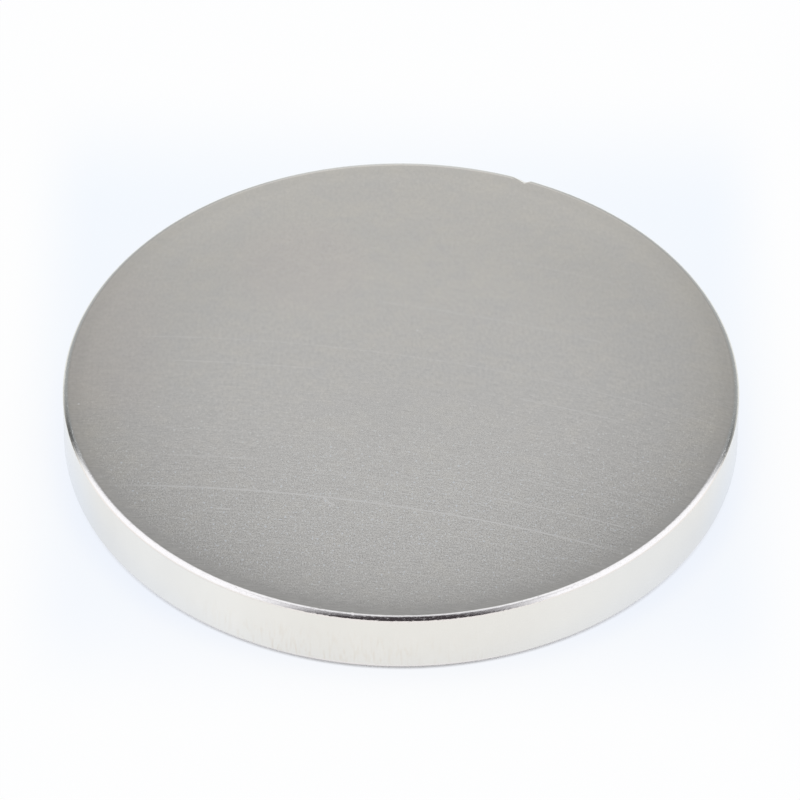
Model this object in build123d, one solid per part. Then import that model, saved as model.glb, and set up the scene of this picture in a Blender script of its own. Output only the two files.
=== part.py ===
from build123d import *
import os

# Large disc magnet. Neodymium-iron-boron powder is pressed and sintered into one blank, ground
# flat on both faces, tumbled until its edges round over, and plated with nickel. The plating
# grows on the blank and is only hundredths of a millimetre thick, so the magnet is one solid.
# The origin is the middle of the underside, and +Z runs along the disc's axis.

# Driving sizes of the disc, in millimetres
disc_diameter = 100.0
disc_height = 10.0
edge_radius = 0.75  # the round that tumbling leaves on both edges

# The chip in the top edge, measured as if the edge were still square. Seen from the middle of
# the disc it starts on the left as a long shallow slope and ends on the right in a steep one.
chip_bearing = 67.6  # degrees from +X, anticlockwise from above, to its deepest point
chip_slope_length = 3.6
chip_end_length = 1.1
chip_reach = 1.3  # inwards over the top face
chip_drop = 1.0  # down the side

disc_radius = disc_diameter / 2


def tumbled_blank():
    """The disc as it leaves the tumbler: a cylinder with both edges rounded over."""
    blank = Cylinder(disc_radius, disc_height, align=(Align.CENTER, Align.CENTER, Align.MIN))
    return fillet(blank.edges().filter_by(GeomType.CIRCLE), edge_radius)


def missing_flake():
    """The flake that the chip left behind, as a three-sided prism with its keel downwards.

    The keel starts on the top face, chip_reach in from the side, and slopes outwards and down to
    chip_drop below the face at the side. The prism is twice as large as the flake each way, so
    that it runs past the face and the side and cuts both cleanly.
    """
    overshoot = 2
    start = Plane(
        origin=(disc_radius - chip_reach, 0, disc_height),
        x_dir=(0, 1, 0),
        z_dir=(1, 0, 0),
    )
    section = make_face(
        Polyline(
            (0, 0),
            (overshoot * chip_slope_length, overshoot * chip_drop),
            (-overshoot * chip_end_length, overshoot * chip_drop),
            close=True,
        )
    )
    keel = Vector(chip_reach, 0, -chip_drop)
    flake = extrude(start * section, overshoot * keel.length, dir=keel)
    return Rot(0, 0, chip_bearing) * flake


magnet_disc = tumbled_blank() - missing_flake()

os.makedirs("parts", exist_ok=True)
export_step(magnet_disc, "parts/magnet_disc.step")
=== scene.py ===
import math

import bpy
from mathutils import Euler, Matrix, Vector, noise


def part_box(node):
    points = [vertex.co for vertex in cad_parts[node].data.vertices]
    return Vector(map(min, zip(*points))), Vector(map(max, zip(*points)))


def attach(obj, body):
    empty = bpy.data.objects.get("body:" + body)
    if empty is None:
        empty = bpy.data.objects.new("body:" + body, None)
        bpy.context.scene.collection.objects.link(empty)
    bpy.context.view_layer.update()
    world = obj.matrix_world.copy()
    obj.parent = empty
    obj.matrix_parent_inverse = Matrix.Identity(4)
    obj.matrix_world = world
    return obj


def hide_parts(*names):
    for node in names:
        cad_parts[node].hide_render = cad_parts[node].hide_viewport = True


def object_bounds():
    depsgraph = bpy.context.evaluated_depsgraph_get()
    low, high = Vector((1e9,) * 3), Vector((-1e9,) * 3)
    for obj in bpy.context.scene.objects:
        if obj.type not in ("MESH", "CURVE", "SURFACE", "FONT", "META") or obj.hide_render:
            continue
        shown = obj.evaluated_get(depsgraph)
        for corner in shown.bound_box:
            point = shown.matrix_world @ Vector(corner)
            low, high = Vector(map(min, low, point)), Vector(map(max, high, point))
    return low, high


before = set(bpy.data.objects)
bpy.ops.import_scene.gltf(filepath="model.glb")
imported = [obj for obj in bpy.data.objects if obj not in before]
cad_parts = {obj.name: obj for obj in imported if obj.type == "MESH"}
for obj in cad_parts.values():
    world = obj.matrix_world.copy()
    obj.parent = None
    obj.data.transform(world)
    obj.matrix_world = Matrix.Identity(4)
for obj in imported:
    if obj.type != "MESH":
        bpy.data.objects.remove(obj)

cad_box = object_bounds()


# The sheet under the magnet
# A plain white sheet that runs out of sight on every side. It is only there to lie on and to
# take the magnet's shadow. It is lit through, and looks faintly blue near the magnet.

# The script works in metres. The sizes of the magnet and the cards, and the places of marks and
# fades on the magnet and the sheet, are given in mm.
mm = 0.001
sheet_reach = 10.0
paper_white = (0.93, 0.935, 0.94)
paper_roughness = 0.9

# The light that comes through it at the magnet's foot, in front, behind and far away. Near the
# magnet it is painted darker and bluer, and darkest at the foot: a painted shade.
shaded_foot_glow = (0.885, 0.925, 1.0)
shaded_near_glow = (0.928, 0.955, 1.0)
shaded_rear_glow = (0.907, 0.946, 1.0)
far_glow = (1.0, 1.0, 1.0)

# Where one of them turns into the next, in mm from the magnet's middle
glow_foot = (50, 55)
glow_turn = (-15, 20)
glow_sides = (46, 60)
glow_front = (-34, -63)
glow_back = (48, 82)

# How much of what is seen of the sheet is this light. The rest is its own white.
glow_share = 0.93

# This light hides most of the magnet's shadow. So much of it is left out in a thin line along
# the front of the foot that the shadow shows there, and this is where.
foot_shadow = 0.826
foot_reach = (50.25, 49.7)
foot_front = (-0.1, -1.1)


class Wire:
    """The output of one shader node. Sums on wires add Math nodes beside it."""

    def __init__(self, tree, socket):
        self.tree = tree
        self.socket = socket

    @classmethod
    def node(cls, tree, kind, settings, inputs, output=0):
        """Adds a node. Its settings come first, then each input gets its value or its wire."""
        added = tree.nodes.new(kind)
        for name, setting in settings.items():
            setattr(added, name, setting)
        for name, feed in inputs.items():
            if isinstance(feed, cls):
                tree.links.new(feed.socket, added.inputs[name])
            else:
                added.inputs[name].default_value = feed
        return cls(tree, added.outputs[output] if added.outputs else None)

    def output(self, name):
        """Another output of the same node."""
        return Wire(self.tree, self.socket.node.outputs[name])

    def maths(self, operation, *terms):
        return Wire.node(self.tree, "ShaderNodeMath", {"operation": operation}, dict(enumerate(terms)))

    def __add__(self, other):
        return self.maths("ADD", self, other)

    def __radd__(self, other):
        return self.maths("ADD", other, self)

    def __sub__(self, other):
        return self.maths("SUBTRACT", self, other)

    def __rsub__(self, other):
        return self.maths("SUBTRACT", other, self)

    def __mul__(self, other):
        return self.maths("MULTIPLY", self, other)

    def __rmul__(self, other):
        return self.maths("MULTIPLY", other, self)

    def __truediv__(self, other):
        return self.maths("DIVIDE", self, other)

    def __rtruediv__(self, other):
        return self.maths("DIVIDE", other, self)

    def __pow__(self, power):
        return self.maths("POWER", self, power)

    def __abs__(self):
        return self.maths("ABSOLUTE", self)

    def at_least(self, floor):
        return self.maths("MAXIMUM", self, floor)

    def at_most(self, ceiling):
        return self.maths("MINIMUM", self, ceiling)

    @classmethod
    def blend(cls, tree, low, high, share):
        """A colour between two others: low where share is 0 and high where it is 1."""
        low, high = [colour if isinstance(colour, cls) else (*colour, 1) for colour in (low, high)]
        return cls.node(tree, "ShaderNodeMix", {"data_type": "RGBA"}, {0: share, 6: low, 7: high}, 2)

    @classmethod
    def scaled(cls, tree, vector, scale):
        """A colour or a vector times one number."""
        return cls.node(tree, "ShaderNodeVectorMath", {"operation": "SCALE"}, {0: vector, "Scale": scale})

    def eased(self, start, end):
        """0 at start and 1 at end, smoothly between them and level beyond them."""
        settings = {"interpolation_type": "SMOOTHSTEP"}
        inputs = {"Value": self, "From Min": start, "From Max": end}
        return Wire.node(self.tree, "ShaderNodeMapRange", settings, inputs)


def new_material(name):
    material = bpy.data.materials.new(name)
    material.use_nodes = True
    material.node_tree.nodes.clear()
    return material


sheet_mesh = bpy.data.meshes.new("sheet")
sheet_corners = [(-1, -1), (1, -1), (1, 1), (-1, 1)]
sheet_points = [(a * sheet_reach, b * sheet_reach, cad_box[0][2]) for a, b in sheet_corners]
sheet_mesh.from_pydata(sheet_points, [], [(0, 1, 2, 3)])
sheet = bpy.data.objects.new("sheet", sheet_mesh)
bpy.context.scene.collection.objects.link(sheet)


def place_on(tree):
    """The place of each point of the object along x, y and z, in mm."""
    place = Wire.node(tree, "ShaderNodeTexCoord", {}, {}, "Object")
    x = Wire.node(tree, "ShaderNodeSeparateXYZ", {}, {0: Wire.scaled(tree, place, 1 / mm)}, "X")
    return x, x.output("Y"), x.output("Z")


paper = new_material("paper")
tree = paper.node_tree
x, y, z = place_on(tree)
away = (x * x + y * y) ** 0.5
beside = abs(x).eased(*glow_sides)
beyond = y.eased(*glow_front).at_least(y.eased(*glow_back))
# The painted shade round the magnet, darkest at its foot
shaded_near_colour = Wire.blend(tree, shaded_near_glow, shaded_rear_glow, y.eased(*glow_turn))
shaded_glow_colour = Wire.blend(tree, shaded_foot_glow, shaded_near_colour, away.eased(*glow_foot))
shaded_glow_colour = Wire.blend(tree, shaded_glow_colour, far_glow, 1 - (1 - beside) * (1 - beyond))
glow = Wire.node(tree, "ShaderNodeEmission", {}, {"Color": shaded_glow_colour, "Strength": 1.0})
paper_finish = {"Base Color": (*paper_white, 1), "Roughness": paper_roughness}
own_white = Wire.node(tree, "ShaderNodeBsdfPrincipled", {}, paper_finish)
seen = Wire.node(tree, "ShaderNodeLightPath", {}, {}, "Is Camera Ray")
seen = (seen + seen.output("Is Glossy Ray") + seen.output("Is Transmission Ray")).at_most(1)
in_front = (y / away.at_least(1)).eased(*foot_front)
share = glow_share * (1 - foot_shadow * in_front * away.eased(*foot_reach))
mixed = Wire.node(tree, "ShaderNodeMixShader", {}, {0: share * seen, 1: own_white, 2: glow})
Wire.node(tree, "ShaderNodeOutputMaterial", {}, {"Surface": mixed})
sheet.data.materials.append(paper)


# The light tent
# White cloth all round and overhead, with a grey panel at the back and an opening in front,
# which is dark and runs up to the top. Bright metal shows all of them.

light_tint = (0.965, 1.0, 1.06)
cloth_light = 1.06
cloth_light_behind = 0.96
cloth_turn = (0.15, 0.7)

# The panel darkens from its foot to its head, and has a narrow lit strip up the lower part of
# its middle. Its right, left and top are slopes against the way back. Most numbers of the panel
# and the opening come from a least-squares fit of how bright the metal looks, and are rounded.
panel_foot = 0.632
panel_head = 0.37
panel_slope = 1.028
panel_right = 2.135
panel_left = 1.2
panel_top = 1.418
panel_shoulder = 0.125
panel_softness = 0.276
panel_top_softness = 0.149
strip_light = 0.3
strip_top = (0.942, 0.83)
strip_half_width = 0.12

# The opening is over twice as wide at its foot as overhead, and ends a little behind the top.
opening_colour = (0.058, 0.051, 0.058)
opening_foot = 0.67
opening_head = 0.297
opening_taper = 1.15
opening_middle = 0.034
opening_softness = 0.288
opening_end = (0.394, 0.28)

# The least that a direction counts as leaning back or up, so that nothing is divided by 0
least_lean = 0.001

# All below the sheet, and all that the camera sees past it, is plain white.
below_sheet = (0.0, -0.01)

world = bpy.data.worlds.new("light_tent")
world.use_nodes = True
world.node_tree.nodes.clear()
bpy.context.scene.world = world
tent = world.node_tree
direction = Wire.node(tent, "ShaderNodeTexCoord", {}, {}, "Generated")
right = Wire.node(tent, "ShaderNodeSeparateXYZ", {}, {0: direction}, "X")
back = right.output("Y")
up = right.output("Z").at_least(0)
ahead = back.at_least(least_lean)

panel = panel_foot + (panel_head - panel_foot) * (up / ahead / panel_slope).at_most(1)
strip = (up / ahead).eased(*strip_top) * (1 - (right / ahead / strip_half_width) ** 2).at_least(0)
panel = panel + strip_light * strip
behind = (panel_right * back - right).eased(-panel_softness, panel_softness)
behind = behind * (panel_left * back + right).eased(-panel_softness, panel_softness)
over = panel_top * back - panel_shoulder * abs(right) - up
behind = behind * over.eased(-panel_top_softness, panel_top_softness)
cloth = cloth_light + (cloth_light_behind - cloth_light) * back.eased(*cloth_turn)
light = cloth + (panel - cloth) * behind
half_opening = ((opening_foot * back.at_most(0)) ** 2 + (opening_head * up) ** 2) ** 0.5
half_opening = half_opening - opening_taper * back.at_least(0)
opening = (half_opening - abs(right - opening_middle)).eased(-opening_softness, opening_softness)
opening = opening * (back / up.at_least(least_lean)).eased(*opening_end)
colour = Wire.scaled(tent, light_tint, light)
colour = Wire.blend(tent, colour, opening_colour, opening)
lit = Wire.node(tent, "ShaderNodeBackground", {}, {"Color": colour, "Strength": 1.0})
plain = Wire.node(tent, "ShaderNodeBackground", {}, {"Color": (*far_glow, 1), "Strength": 1.0})
seen = Wire.node(tent, "ShaderNodeLightPath", {}, {}, "Is Camera Ray")
below = right.output("Z").eased(*below_sheet)
around = Wire.node(tent, "ShaderNodeMixShader", {}, {0: seen.at_least(below), 1: lit, 2: plain})
Wire.node(tent, "ShaderNodeOutputWorld", {}, {"Surface": around})

# A broad soft lamp overhead, which the metal doesn't show
top_lamp_light = 0.25
top_lamp_spread = math.radians(90)

top_lamp = bpy.data.lights.new("top_lamp", "SUN")
top_lamp.energy = top_lamp_light * math.pi
top_lamp.angle = top_lamp_spread
top_lamp.color = light_tint
top_lamp_object = bpy.data.objects.new("top_lamp", top_lamp)
top_lamp_object.visible_glossy = False
bpy.context.scene.collection.objects.link(top_lamp_object)
bpy.context.scene.view_settings.view_transform = "Standard"


# Two dark cards
# Small cards of black paper that stand close to the magnet at the left and the right. Only the
# bright metal shows them, as a dark line along each end of its edge.

card_black = (0, 0, 0)

# The fade at the sides and the top of a card, in mm like its middle and its sizes
card_softness = 7.0


def dark_card(name, centre, facing, half_width, height, darkness):
    """A card on the sheet whose sides and top fade out. It faces a bearing in degrees."""
    reach = half_width + card_softness
    top = height + card_softness
    mesh = bpy.data.meshes.new(name)
    corners = [(-reach, 0, 0), (reach, 0, 0), (reach, 0, top), (-reach, 0, top)]
    mesh.from_pydata([Vector(corner) * mm for corner in corners], [], [(0, 1, 2, 3)])
    card = bpy.data.objects.new(name, mesh)
    bpy.context.scene.collection.objects.link(card)
    card.location = (centre[0] * mm, centre[1] * mm, cad_box[0][2])
    card.rotation_euler = (0, 0, math.radians(facing - 90))
    material = new_material(name)
    tree = material.node_tree
    x, y, z = place_on(tree)
    paper_share = (half_width - abs(x)).eased(-card_softness, card_softness)
    paper_share = darkness * paper_share * (height - z).eased(-card_softness, card_softness)
    clear = Wire.node(tree, "ShaderNodeBsdfTransparent", {}, {})
    dark_paper = Wire.node(tree, "ShaderNodeEmission", {}, {"Color": (*card_black, 1), "Strength": 0.0})
    mixed = Wire.node(tree, "ShaderNodeMixShader", {}, {0: paper_share, 1: clear, 2: dark_paper})
    Wire.node(tree, "ShaderNodeOutputMaterial", {}, {"Surface": mixed})
    mesh.materials.append(material)
    card.visible_camera = False
    card.visible_diffuse = False
    card.visible_transmission = False
    card.visible_shadow = False


dark_card("left_card", centre=(-65.7, 1.1), facing=117, half_width=7.1, height=25.4, darkness=0.83)
dark_card("right_card", centre=(67.4, -0.9), facing=80, half_width=9.2, height=20.3, darkness=0.6)


# The camera
# A long lens nearly 1.3 metres away, looking down at the disc from the front.

camera_distance = 1.2845
camera_elevation = math.radians(42.89)
camera_aim = Vector((-0.000145, 0.007265, 0))
camera_roll = math.radians(0.171)

# The lens itself, in mm
sensor_width = 36
focal_length = 389

lens = bpy.data.cameras.new("camera")
lens.sensor_width = sensor_width
lens.lens = focal_length
camera = bpy.data.objects.new("camera", lens)
bpy.context.scene.collection.objects.link(camera)
camera_away = camera_distance * math.cos(camera_elevation)
camera_height = camera_distance * math.sin(camera_elevation)
camera.location = (0, -camera_away, camera_height)
line_of_sight = camera_aim - camera.location
turn = line_of_sight.to_track_quat("-Z", "Y").to_matrix() @ Euler((0, 0, camera_roll)).to_matrix()
camera.rotation_euler = turn.to_euler()
bpy.context.scene.camera = camera


# The magnet
# One disc of pressed and sintered neodymium-iron-boron. Both faces are ground flat, its edges
# are rounded over in a tumbler, and the whole of it is nickel plated.

magnet_low, magnet_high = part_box("magnet_disc")
rim_radius = (magnet_high.x - magnet_low.x) / 2 / mm
magnet_height = (magnet_high.z - magnet_low.z) / mm
edge_radius = 0.75
flat_radius = rim_radius - edge_radius

# The chip in the top edge. A long shallow slope and a short steep one meet in a valley that runs
# from chip_reach in over the face to chip_drop down the side. Past chip_zone from it the disc is
# whole, and within chip_span of it the mesh is fine.
chip_bearing = math.radians(67.6)
chip_slope_length = 3.6
chip_end_length = 1.1
chip_reach = 1.3
chip_drop = 1.0
chip_softness = 0.15
chip_roughness = 0.03
chip_grains_per_mm = 3.0
chip_zone = 8
chip_span = math.radians(5)

# Two nicks in the front of the top edge, with a fine mesh within nick_span of each
nicks = [(-11.5, -47.6), (-6.9, -48.9)]
nick_reach = 0.3
nick_depth = 0.02
nick_span = math.radians(1)

# The face rolls gently into the edge before it turns down.
roll_end = math.radians(25)
roll_gain = 2.0

# The steps of the mesh: round the disc, over its edge, and from ring to ring in mm
plain_step = math.radians(0.5)
fine_step = math.radians(0.08)
edge_steps = 18
fine_gap = 0.06
face_gaps = [25.6, 12.8, 6.4, 3.2, 1.6, 1.0]
fine_gaps = [fine_gap * step for step in range(14, 0, -1)]
side_drops = [0.05, 0.1, 0.16, 0.25, 0.4, 0.8, 1.6]


def half_profile(gaps, drops):
    """Radius and depth below the face of each ring, from the middle of a face to the side."""
    turn = math.pi / 2 / edge_steps
    reach = 0.0
    fall = 0.0
    edge = [(reach, fall)]
    for step in range(edge_steps):
        tilt = turn * (step + 0.5)
        rounding = edge_radius * (1 + roll_gain * max(1 - tilt / roll_end, 0) ** 2)
        reach += rounding * turn * math.cos(tilt)
        fall += rounding * turn * math.sin(tilt)
        edge.append((reach, fall))
    rings = [(rim_radius - reach - gap, 0.0) for gap in gaps]
    rings += [(rim_radius - reach + across, down) for across, down in edge]
    return rings + [(rim_radius, fall + drop) for drop in drops]


def smooth_least(a, b, softness):
    """The smaller of two numbers, with the step from one to the other rounded off."""
    overlap = max(softness - abs(a - b), 0) / softness
    return min(a, b) - overlap * overlap * softness / 4


def chipped(point):
    """Sinks a point of the top edge to the surface that the lost flake left."""
    turned = point.copy()
    turned.rotate(Euler((0, 0, -chip_bearing)))
    start = turned - Vector((rim_radius - chip_reach, 0, magnet_height))
    if start.length > chip_zone:
        return point
    fall = chip_drop * start.x + chip_reach * start.z
    reach = (chip_drop + chip_reach) / math.sqrt(2)
    slope = (fall - chip_reach * chip_drop * start.y / chip_slope_length) / reach
    end = (fall + chip_reach * chip_drop * start.y / chip_end_length) / reach
    sink = smooth_least(slope, end, chip_softness)
    if sink > 0:
        sink += chip_roughness * noise.noise(point * chip_grains_per_mm) * min(sink / chip_softness, 1)
    sink = -smooth_least(-sink, 0, chip_softness)
    turned += Vector((-1, 0, -1)).normalized() * sink
    turned.rotate(Euler((0, 0, chip_bearing)))
    return turned


def nicked(point, bearing):
    """Dents a point of the top edge where something has knocked it."""
    heart_level = magnet_height - edge_radius
    heart = Vector((flat_radius * math.cos(bearing), flat_radius * math.sin(bearing), heart_level))
    for x, y in nicks:
        bulge = max(math.hypot(x, y) - flat_radius, 0)
        centre = Vector((x, y, heart_level + math.sqrt(edge_radius**2 - bulge**2)))
        gap = (point - centre).length / nick_reach
        if gap < 1:
            point = point + (heart - point).normalized() * nick_depth * (1 - gap * gap) ** 2
    return point


def turn_between(a, b):
    """The turn from one bearing to another, the shorter way round."""
    return abs((a - b + math.pi) % math.tau - math.pi)


damage = [(chip_bearing, chip_span)]
damage += [(math.atan2(y, x), nick_span) for x, y in nicks]
bearings = [0.0]
while bearings[-1] < math.tau - plain_step:
    near = any(turn_between(bearings[-1], bearing) < span for bearing, span in damage)
    bearings.append(bearings[-1] + (fine_step if near else plain_step))

top_half = half_profile(face_gaps + fine_gaps, side_drops)
under_half = half_profile(face_gaps + [fine_gap], [fine_gap])
rings = [(radius, magnet_height - depth) for radius, depth in top_half]
rings += [(radius, depth) for radius, depth in reversed(under_half)]

points = []
for radius, level in rings:
    for bearing in bearings:
        point = Vector((radius * math.cos(bearing), radius * math.sin(bearing), level))
        if level > magnet_height / 2:
            point = nicked(chipped(point), bearing)
        points.append(point)

count = len(bearings)
faces = []
for ring in range(len(rings) - 1):
    inner = ring * count
    outer = inner + count
    for step in range(count):
        following = (step + 1) % count
        faces.append((inner + step, outer + step, outer + following, inner + following))
top_middle = len(points)
points.append(Vector((0, 0, magnet_height)))
under_middle = len(points)
points.append(Vector((0, 0, 0)))
last_ring = (len(rings) - 1) * count
for step in range(count):
    following = (step + 1) % count
    faces.append((top_middle, step, following))
    faces.append((under_middle, last_ring + following, last_ring + step))

disc_mesh = bpy.data.meshes.new("nickel_plated_disc")
disc_mesh.from_pydata([point * mm for point in points], [], faces)
disc_mesh.shade_smooth()
disc = bpy.data.objects.new("nickel_plated_disc", disc_mesh)
bpy.context.scene.collection.objects.link(disc)

# The plating is bright on the rim and satin on the ground faces, and the tumbling has polished
# each face towards its edge. It is warmer at the back of the face and round its border, brown in
# two patches, and stained in faint upright runs low on the front of the side.

# The tones hold light as well as metal. The rear of the edge is a painted shade, darker only to
# balance the tent, and the warm and the brown tones may be reflections.
nickel = (0.86, 0.82, 0.757)
warm_nickel = (0.875, 0.818, 0.72)
brown_nickel = (0.885, 0.81, 0.735)
scratched_nickel = (1.0, 0.96, 0.9)
side_nickel = (0.84, 0.822, 0.776)
stained_nickel = (0.79, 0.745, 0.67)
# Painted cooler at both ends of the side: a painted reflection of bluer light
painted_cool_end_nickel = (0.82, 0.832, 0.828)
edge_nickel = (0.86, 0.817, 0.788)
rear_edge_painted_shade = (0.74, 0.733, 0.683)

rim_roughness = 0.1
side_roughness = 0.2
face_roughness = 0.27
polished_roughness = 0.05
relief_height = 0.003 * mm

half_height = magnet_height / 2

# Each pair, here and below, runs from where something starts to fade in to where it is full.
face_border = (flat_radius + 0.15, flat_radius - 0.1)
face_skin = (0.06, 0.02)
edge_foot = (edge_radius + 0.1, edge_radius - 0.1)
upper_half = (half_height, half_height + 1)

plating = new_material("nickel_plating")
tree = plating.node_tree
x, y, z = place_on(tree)
radius = (x * x + y * y) ** 0.5
depth = half_height - abs(z - half_height)
face = radius.eased(*face_border) * depth.eased(*face_skin)
rest = 1 - face
edge = depth.eased(*edge_foot)
top = z.eased(*upper_half)

# The grinding wheel swept the face in shallow arcs. The lay is the same all along an arc, and
# counts them in mm from front to back.
lay_radius = 210.0
lay_middle = -41.0

lay = y + lay_radius - (lay_radius**2 - (x - lay_middle) ** 2) ** 0.5


def mottle(a, b, c, detail=0.0):
    """Noise about 0, with a grain one unit across in each of the three wires."""
    where = Wire.node(tree, "ShaderNodeCombineXYZ", {}, {0: a, 1: b, 2: c})
    inputs = {"Vector": where, "Scale": 1.0, "Detail": detail}
    return Wire.node(tree, "ShaderNodeTexNoise", {}, inputs) - 0.5


# The patterns in the finish, with the size of each one's grain in mm. The glints are only the
# tops of theirs.
glint_cut = (0.18, 0.3)

speckle = mottle(x / 0.2, lay / 0.26, z, 1.0)
soft_speckle = mottle(x / 0.46, lay / 0.75, z)
glints = mottle(x / 0.36, y / 0.5, z).eased(*glint_cut)
brushing = mottle(x / 1.6, lay / 0.28, z, 2.0)
streaks = mottle(x / 6, lay / 0.4, z, 1.0)
patches = mottle(x / 2.5, y / 2.0, z / 4, 1.0)
clouds = mottle(x / 9, y / 6, z / 9, 2.0)
flecks = mottle(x / 0.5, y / 0.5, (z - radius) / 0.17, 2.0)

# The grain is deep at the front of the face, soft at the back, and faint round the border. A real
# one may be even: the fade is there for how the face looks from the front.
grain_front = (6, -32)
grain_border = (flat_radius, 46)
grain_back = 0.06
worn_front = (-36, -46)
worn_share = 0.35
soft_grain_start = (-35, -10)
soft_grain_middle = (25, 0)
soft_middle_depth = 0.125
soft_back_depth = 0.07
brushing_front = (14, -22)
streaks_front = (20, -10)
streaks_back = 0.3

grain = grain_back + (1 - grain_back) * y.eased(*grain_front)
grain = grain * radius.eased(*grain_border) * (1 - worn_share * y.eased(*worn_front))
soft_depth = soft_back_depth + (soft_middle_depth - soft_back_depth) * y.eased(*soft_grain_middle)
soft_grain = soft_depth * y.eased(*soft_grain_start) * soft_speckle
front_brushing = brushing * y.eased(*brushing_front)
front_streaks = streaks * (streaks_back + (1 - streaks_back) * y.eased(*streaks_front))

# Long scratches that follow the lay, each of them uneven along its length
scratch_level = 0.85
scratch_unevenness = 1.4


def scratch(course, start, end, strength, width=0.17, drift=0.0, fade=3.0):
    """A line along the lay from one x to another, 1 at its middle at full strength."""
    aside = abs(lay - course - drift * (x - start) / (end - start))
    ends = x.eased(start - fade / 2, start + fade / 2) * x.eased(end + fade / 2, end - fade / 2)
    return strength * aside.eased(width, 0) * ends


scratches = scratch(-22.05, -39, 31, 1.4, width=0.26, drift=-0.7, fade=9)
scratches += scratch(-17.4, 13.5, 33, 1.2)
scratches += scratch(-17.4, -18, 13.5, 0.6)
scratches += scratch(-15.4, -34, -20, 0.9)
scratches += scratch(-12.3, 17, 38, 0.75)
scratches += scratch(-9.7, -34, 23, 0.4)
scratches += scratch(-9.9, 23, 38, 0.6)
scratches += scratch(5.1, -34, -12, 0.6)
scratches += scratch(5.1, 17, 32, 0.75)
scratches += scratch(10.3, -38, 46, 0.45, width=0.2)
scratches += scratch(21.5, -3, 30, 0.25, width=0.4)
scratches += scratch(35.3, 16, 32, 0.2, width=0.3)
scratches += scratch(-27.1, -30, 30, 0.4)
scratches += scratch(-32.6, -25, 25, 0.45)

# A short dash, and a small hook that branches off the first scratch towards the front
scratches += scratch(-26.45, -26.9, -24.7, 1.8, width=0.24, fade=0.6)
scratches += scratch(-22.4, -11.25, -10.4, 2.4, width=0.48, drift=-1.0, fade=0.3)
scratches += scratch(-23.4, -10.45, -9.6, 2.2, width=0.34, drift=-0.4, fade=0.3)
uneven = scratch_level + scratch_unevenness * mottle(x / 1.6, lay / 2.5, z, 1.0)
scratches = scratches * uneven.at_least(0)

# Bright specks where something hard has pricked the face
speck_places = [
    (-10.4, -6.8), (-35.7, -5.2), (-47.5, -4.6), (2.4, 11.7), (-5.0, -40.6), (49.1, -6.3),
    (33.4, -35.2), (32.1, -36.2), (9.0, -40.7), (14.0, -40.9), (20.5, -40.7), (10.3, -42.2),
]
speck_reach = (0.24, 0.08)
speck_strength = 1.4

specks = 0.0
for speck_x, speck_y in speck_places:
    gap = ((x - speck_x) ** 2 + (y - speck_y) ** 2) ** 0.5
    specks = specks + gap.eased(*speck_reach)
marks = (scratches + speck_strength * specks) * face * top

# How light the face is: its patterns, and a painted shade that darkens it towards its border
# except at the back
brushing_depth = 0.35
glint_depth = 0.45
streak_depth = 0.08
cloud_depth = 0.04
patch_depth = 0.06
face_lift = 0.025
border_shade_reach = (20, 42)
border_shade_back = (40, 22)
rim_shade_reach = (46.2, 48.3)
painted_border_shade = 0.045

shaded_border = radius.eased(*border_shade_reach) * y.eased(*border_shade_back)
face_shade = grain * speckle + glint_depth * grain * glints + soft_grain
face_shade += brushing_depth * front_brushing + streak_depth * front_streaks
face_shade += cloud_depth * clouds + patch_depth * patches
face_shade += face_lift - painted_border_shade * shaded_border - painted_border_shade * radius.eased(*rim_shade_reach)

# How light the side and the edge are. Both are painted lighter left and right of the front, so
# the bright arcs there are not all reflection.
left_flank = (-12, -27)
left_flank_end = (-45, -36)
left_flank_lift = 0.075
right_flank = (12, 27)
right_flank_end = (45, 36)
right_flank_lift = 0.045
side_cloud_depth = 0.02
side_patch_depth = 0.03
bright_edge = (7, 20)
bright_edge_end = (49.5, 45)
bright_edge_foot = (0.6, 0.3)
bright_edge_lift = 0.13

flanks = left_flank_lift * x.eased(*left_flank) * x.eased(*left_flank_end)
flanks += right_flank_lift * x.eased(*right_flank) * x.eased(*right_flank_end)
lit_edge = edge * abs(x).eased(*bright_edge) * abs(x).eased(*bright_edge_end)
lit_edge = lit_edge * depth.eased(*bright_edge_foot)
rest_shade = side_cloud_depth * clouds + side_patch_depth * patches
rest_shade += flanks * (1 - edge) + bright_edge_lift * lit_edge
shade = 1 + face * face_shade + rest * rest_shade

# Upright runs of stain low on the front of the side, strongest a little left of the middle
run_cut = (-0.05, 0.3)
run_height = (8, 2.5)
run_front = (-20, -40)
run_right = (20, 10)
run_left = (-38, -24)
strong_run_right = (6, -4)
strong_run_left = (-27, -17)
weak_run = 0.4

runs = mottle(x / 0.45, y / 0.45, z / 2.2, 3.0).eased(*run_cut) * z.eased(*run_height)
runs = runs * y.eased(*run_front) * x.eased(*run_right) * x.eased(*run_left)
runs = runs * (weak_run + (1 - weak_run) * x.eased(*strong_run_right) * x.eased(*strong_run_left))

# The colour of the side and the edge, with a painted shade darkening the back of the edge
cool_end_reach = (43, 48.5)
rear_edge_shade_reach = (-25, -8)
edge_fade = (0.5, 0.7)
edge_fade_side = (10, 18)

side_tone = Wire.blend(tree, side_nickel, stained_nickel, runs)
# Both ends of the side are painted cooler: a painted reflection.
side_tone = Wire.blend(tree, side_tone, painted_cool_end_nickel, abs(x).eased(*cool_end_reach))
shaded_edge_tone = Wire.blend(tree, edge_nickel, rear_edge_painted_shade, y.eased(*rear_edge_shade_reach))
edge_share = edge * (1 - depth.eased(*edge_fade) * abs(x).eased(*edge_fade_side))
rest_tone = Wire.blend(tree, side_tone, shaded_edge_tone, edge_share)

# The colour of the face
warm_back = (-20, 50)
warm_back_share = 0.65
warm_border = (38, 48)
warm_border_back = (-30, -5)
warm_border_share = 0.8
warm_patch_share = 0.8
warm_cloud_share = 0.6

# Its two brown patches: one at the left end, and one towards the back, a little to the left
brown_end = (-32, -41)
brown_end_front = (-12, 0)
brown_end_back = (30, 18)
brown_middle = (-15, 26)
brown_reach_squared = (150, 30)
brown_share = 0.45

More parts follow.
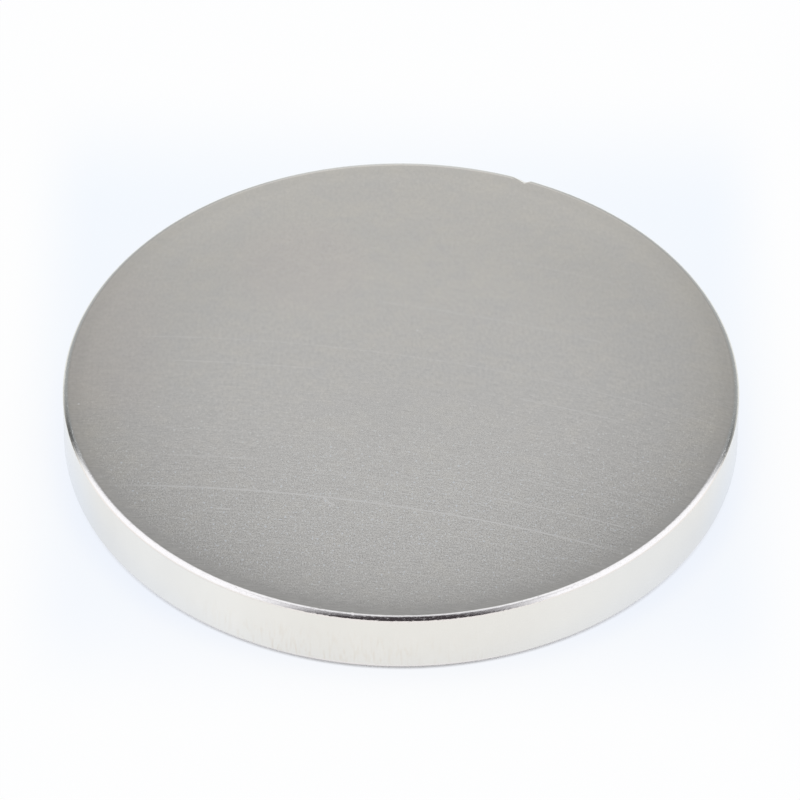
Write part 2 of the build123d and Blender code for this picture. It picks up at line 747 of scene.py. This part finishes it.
warmth = warm_border_share * radius.eased(*warm_border) * y.eased(*warm_border_back)
warmth = warmth.at_least(warm_back_share * y.eased(*warm_back))
warmth = (warmth + warm_patch_share * patches + warm_cloud_share * clouds).at_least(0).at_most(1)
brown = x.eased(*brown_end) * y.eased(*brown_end_front) * y.eased(*brown_end_back)
brown_gap_squared = (x - brown_middle[0]) ** 2 + (y - brown_middle[1]) ** 2
brown = brown.at_least(brown_gap_squared.eased(*brown_reach_squared))
face_tone = Wire.blend(tree, nickel, warm_nickel, warmth)
face_tone = Wire.blend(tree, face_tone, brown_nickel, brown_share * brown)

# All of it together. The scratches and the specks show brighter metal.
scratched_share = 0.9

tone = Wire.blend(tree, rest_tone, face_tone, face)
colour = Wire.scaled(tree, tone, shade)
colour = Wire.blend(tree, colour, scratched_nickel, (scratched_share * marks).at_most(1))

# How rough it is. The face is polished towards its border, in a narrower band at the front and
# the back than at the ends, and less at the back.
polished_radius = 48.8
polish_power = 4.2
polish_narrowing = 5.5
rough_back = (10, 45)
rough_back_share = 0.25
fleck_roughness = 1.5
grain_roughness = 0.08

lean = y / radius.at_least(1)
polish = (radius / polished_radius) ** (polish_power + polish_narrowing * lean**6)
polish = polish * (1 - rough_back_share * y.eased(*rough_back))
rest_roughness = rim_roughness - side_roughness + fleck_roughness * flecks.at_least(0)
rest_roughness = side_roughness + rest_roughness * edge
satin_roughness = face_roughness + (polished_roughness - face_roughness) * polish.at_most(1)
satin_roughness = satin_roughness + grain_roughness * grain * speckle
roughness = rest_roughness + (satin_roughness - rest_roughness) * face

# Its relief, in parts of the relief height: the grain and the streaks of the face, the sunken
# marks, and the flecks of the edge
grain_relief = 0.05
streak_relief = 0.1
mark_relief = 0.4
fleck_relief = 3.2

relief = face * (grain_relief * grain * speckle + streak_relief * streaks) - mark_relief * marks
relief = relief + fleck_relief * edge * rest * flecks
bump_inputs = {"Strength": 1.0, "Distance": relief_height, "Height": relief}
bump = Wire.node(tree, "ShaderNodeBump", {}, bump_inputs)
plating_finish = {"Base Color": colour, "Metallic": 1.0, "Roughness": roughness, "Normal": bump}
shader = Wire.node(tree, "ShaderNodeBsdfPrincipled", {}, plating_finish)
Wire.node(tree, "ShaderNodeOutputMaterial", {}, {"Surface": shader})
disc.data.materials.append(plating)

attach(disc, "root")
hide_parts("magnet_disc")
